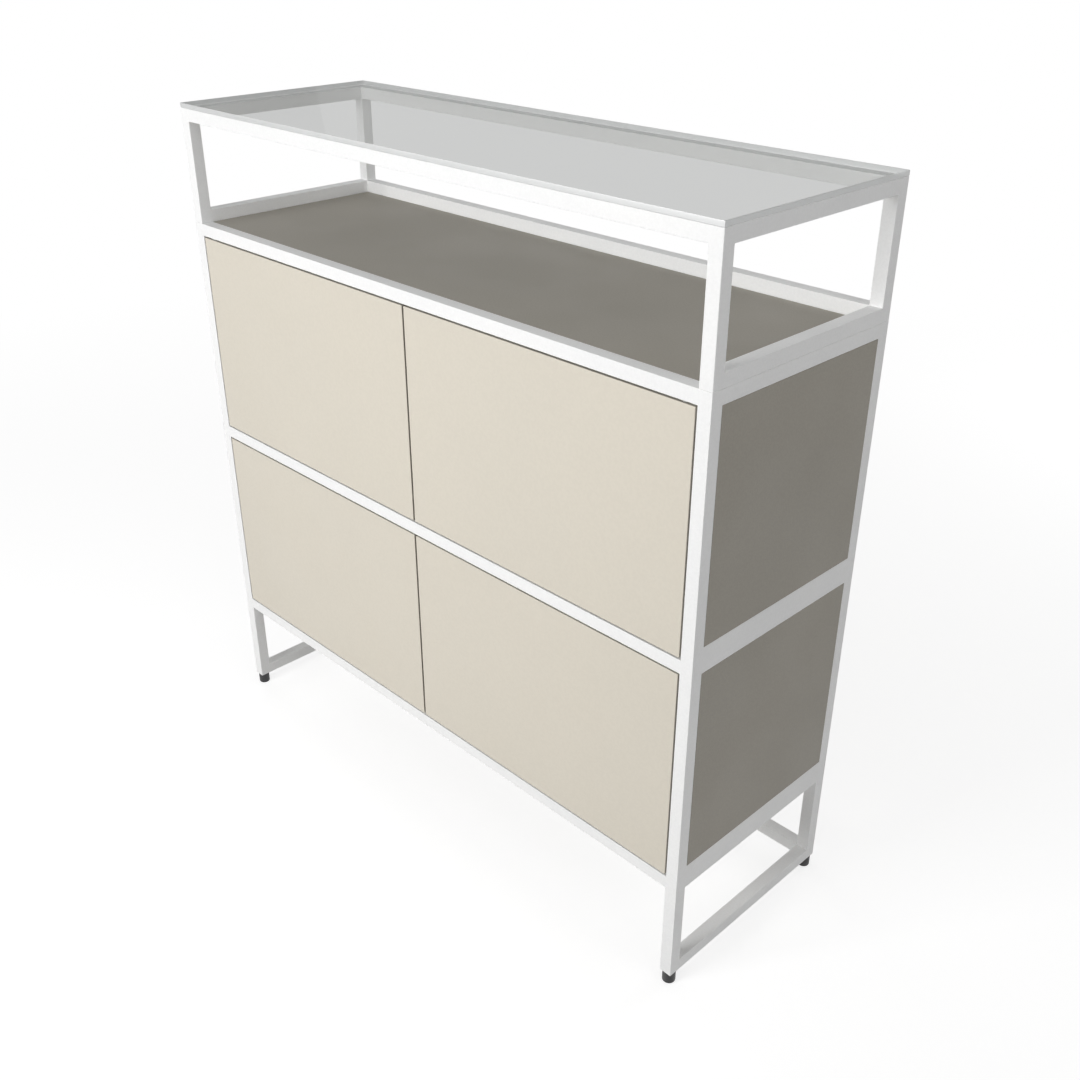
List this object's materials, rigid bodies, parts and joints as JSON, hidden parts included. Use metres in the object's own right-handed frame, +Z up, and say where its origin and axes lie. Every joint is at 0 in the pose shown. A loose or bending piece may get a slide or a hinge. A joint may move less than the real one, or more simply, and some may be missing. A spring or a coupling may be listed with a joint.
{
  "type": "highboard",
  "caption": "Free-standing highboard: steel tube frame, paired flush push-to-open doors in rows, an open display bay above them under a glass top, and levelling feet.",
  "frame": {"origin": "on the floor under the middle of the highboard", "axes": "front faces -Y, +X to the right seen from the front, +Z up"},
  "size_m": [1.2, 0.4, 1.23],
  "materials": {
    "frame_steel": "fine-textured white powder coat",
    "door_lacquer": "matt lacquered board, warm beige",
    "infill_board": "matt faced board, taupe",
    "glass": "clear float glass with polished edges",
    "foot_plastic": "moulded black plastic",
    "zinc_steel": "zinc-plated",
    "fitting_plastic": "moulded grey plastic"
  },
  "bodies": {
    "frame": {"back_bottom_rail": "frame_steel", "back_floor_rail": "frame_steel", "back_left_post": "frame_steel", "back_lower_panel": "infill_board", "back_middle_rail": "frame_steel", "back_right_post": "frame_steel", "back_top_rail": "frame_steel", "back_upper_panel": "infill_board", "bottom_panel": "infill_board", "display_back_left_post": "frame_steel", "display_back_rail": "frame_steel", "display_back_right_post": "frame_steel", "display_back_sill": "frame_steel", "display_front_left_post": "frame_steel", "display_front_rail": "frame_steel", "display_front_right_post": "frame_steel", "display_left_rails": "frame_steel", "display_right_rails": "frame_steel", "front_bottom_rail": "frame_steel", "front_left_post": "frame_steel", "front_middle_rail": "frame_steel", "front_right_post": "frame_steel", "front_top_rail": "frame_steel", "glass_top": "glass", "latch_bodies": "fitting_plastic", "left_lower_panel": "infill_board", "left_side_rails": "frame_steel", "left_upper_panel": "infill_board", "leg_inserts": "fitting_plastic", "middle_panel": "infill_board", "panel_lugs": "frame_steel", "panel_screws": "zinc_steel", "pivot_bushes": "fitting_plastic", "post_joiners": "fitting_plastic", "right_lower_panel": "infill_board", "right_side_rails": "frame_steel", "right_upper_panel": "infill_board", "top_panel": "infill_board"},
    "upper_left_door": {"upper_left_door": "door_lacquer", "upper_left_door_pins": "zinc_steel", "upper_left_strike": "zinc_steel"},
    "upper_left_plunger": {"upper_left_plunger": "fitting_plastic"},
    "upper_right_door": {"upper_right_door": "door_lacquer", "upper_right_door_pins": "zinc_steel", "upper_right_strike": "zinc_steel"},
    "upper_right_plunger": {"upper_right_plunger": "fitting_plastic"},
    "lower_left_door": {"lower_left_door": "door_lacquer", "lower_left_door_pins": "zinc_steel", "lower_left_strike": "zinc_steel"},
    "lower_left_plunger": {"lower_left_plunger": "fitting_plastic"},
    "lower_right_door": {"lower_right_door": "door_lacquer", "lower_right_door_pins": "zinc_steel", "lower_right_strike": "zinc_steel"},
    "lower_right_plunger": {"lower_right_plunger": "fitting_plastic"},
    "front_left_foot": {"front_left_foot": "foot_plastic"},
    "front_right_foot": {"front_right_foot": "foot_plastic"},
    "back_left_foot": {"back_left_foot": "foot_plastic"},
    "back_right_foot": {"back_right_foot": "foot_plastic"}
  },
  "joints": [
    {"name": "upper_left_door_hinge", "type": "hinge", "parent": "frame", "child": "upper_left_door", "pos_m": [-0.553, -0.189, 0.811], "axis": [0, 0, -1], "range_deg": [0, 105]},
    {"name": "upper_left_plunger_slide", "type": "slide", "parent": "frame", "child": "upper_left_plunger", "axis": [0, -1, 0], "range_m": [0, 0.0201]},
    {"name": "upper_right_door_hinge", "type": "hinge", "parent": "frame", "child": "upper_right_door", "pos_m": [0.553, -0.189, 0.811], "axis": [0, 0, 1], "range_deg": [0, 105]},
    {"name": "upper_right_plunger_slide", "type": "slide", "parent": "frame", "child": "upper_right_plunger", "axis": [0, -1, 0], "range_m": [0, 0.0201]},
    {"name": "lower_left_door_hinge", "type": "hinge", "parent": "frame", "child": "lower_left_door", "pos_m": [-0.553, -0.189, 0.411], "axis": [0, 0, -1], "range_deg": [0, 105]},
    {"name": "lower_left_plunger_slide", "type": "slide", "parent": "frame", "child": "lower_left_plunger", "axis": [0, -1, 0], "range_m": [0, 0.0201]},
    {"name": "lower_right_door_hinge", "type": "hinge", "parent": "frame", "child": "lower_right_door", "pos_m": [0.553, -0.189, 0.411], "axis": [0, 0, 1], "range_deg": [0, 105]},
    {"name": "lower_right_plunger_slide", "type": "slide", "parent": "frame", "child": "lower_right_plunger", "axis": [0, -1, 0], "range_m": [0, 0.0201]},
    {"name": "front_left_foot_screw", "type": "slide", "parent": "frame", "child": "front_left_foot", "axis": [0, 0, -1], "range_m": [0, 0.01]},
    {"name": "front_right_foot_screw", "type": "slide", "parent": "frame", "child": "front_right_foot", "axis": [0, 0, -1], "range_m": [0, 0.01]},
    {"name": "back_left_foot_screw", "type": "slide", "parent": "frame", "child": "back_left_foot", "axis": [0, 0, -1], "range_m": [0, 0.01]},
    {"name": "back_right_foot_screw", "type": "slide", "parent": "frame", "child": "back_right_foot", "axis": [0, 0, -1], "range_m": [0, 0.01]}
  ],
  "couplings": [
    {"joint": "upper_left_plunger_slide", "follows": "upper_left_door_hinge", "m_per_rad": 0.010913},
    {"joint": "upper_right_plunger_slide", "follows": "upper_right_door_hinge", "m_per_rad": 0.010913},
    {"joint": "lower_left_plunger_slide", "follows": "lower_left_door_hinge", "m_per_rad": 0.010913},
    {"joint": "lower_right_plunger_slide", "follows": "lower_right_door_hinge", "m_per_rad": 0.010913}
  ]
}
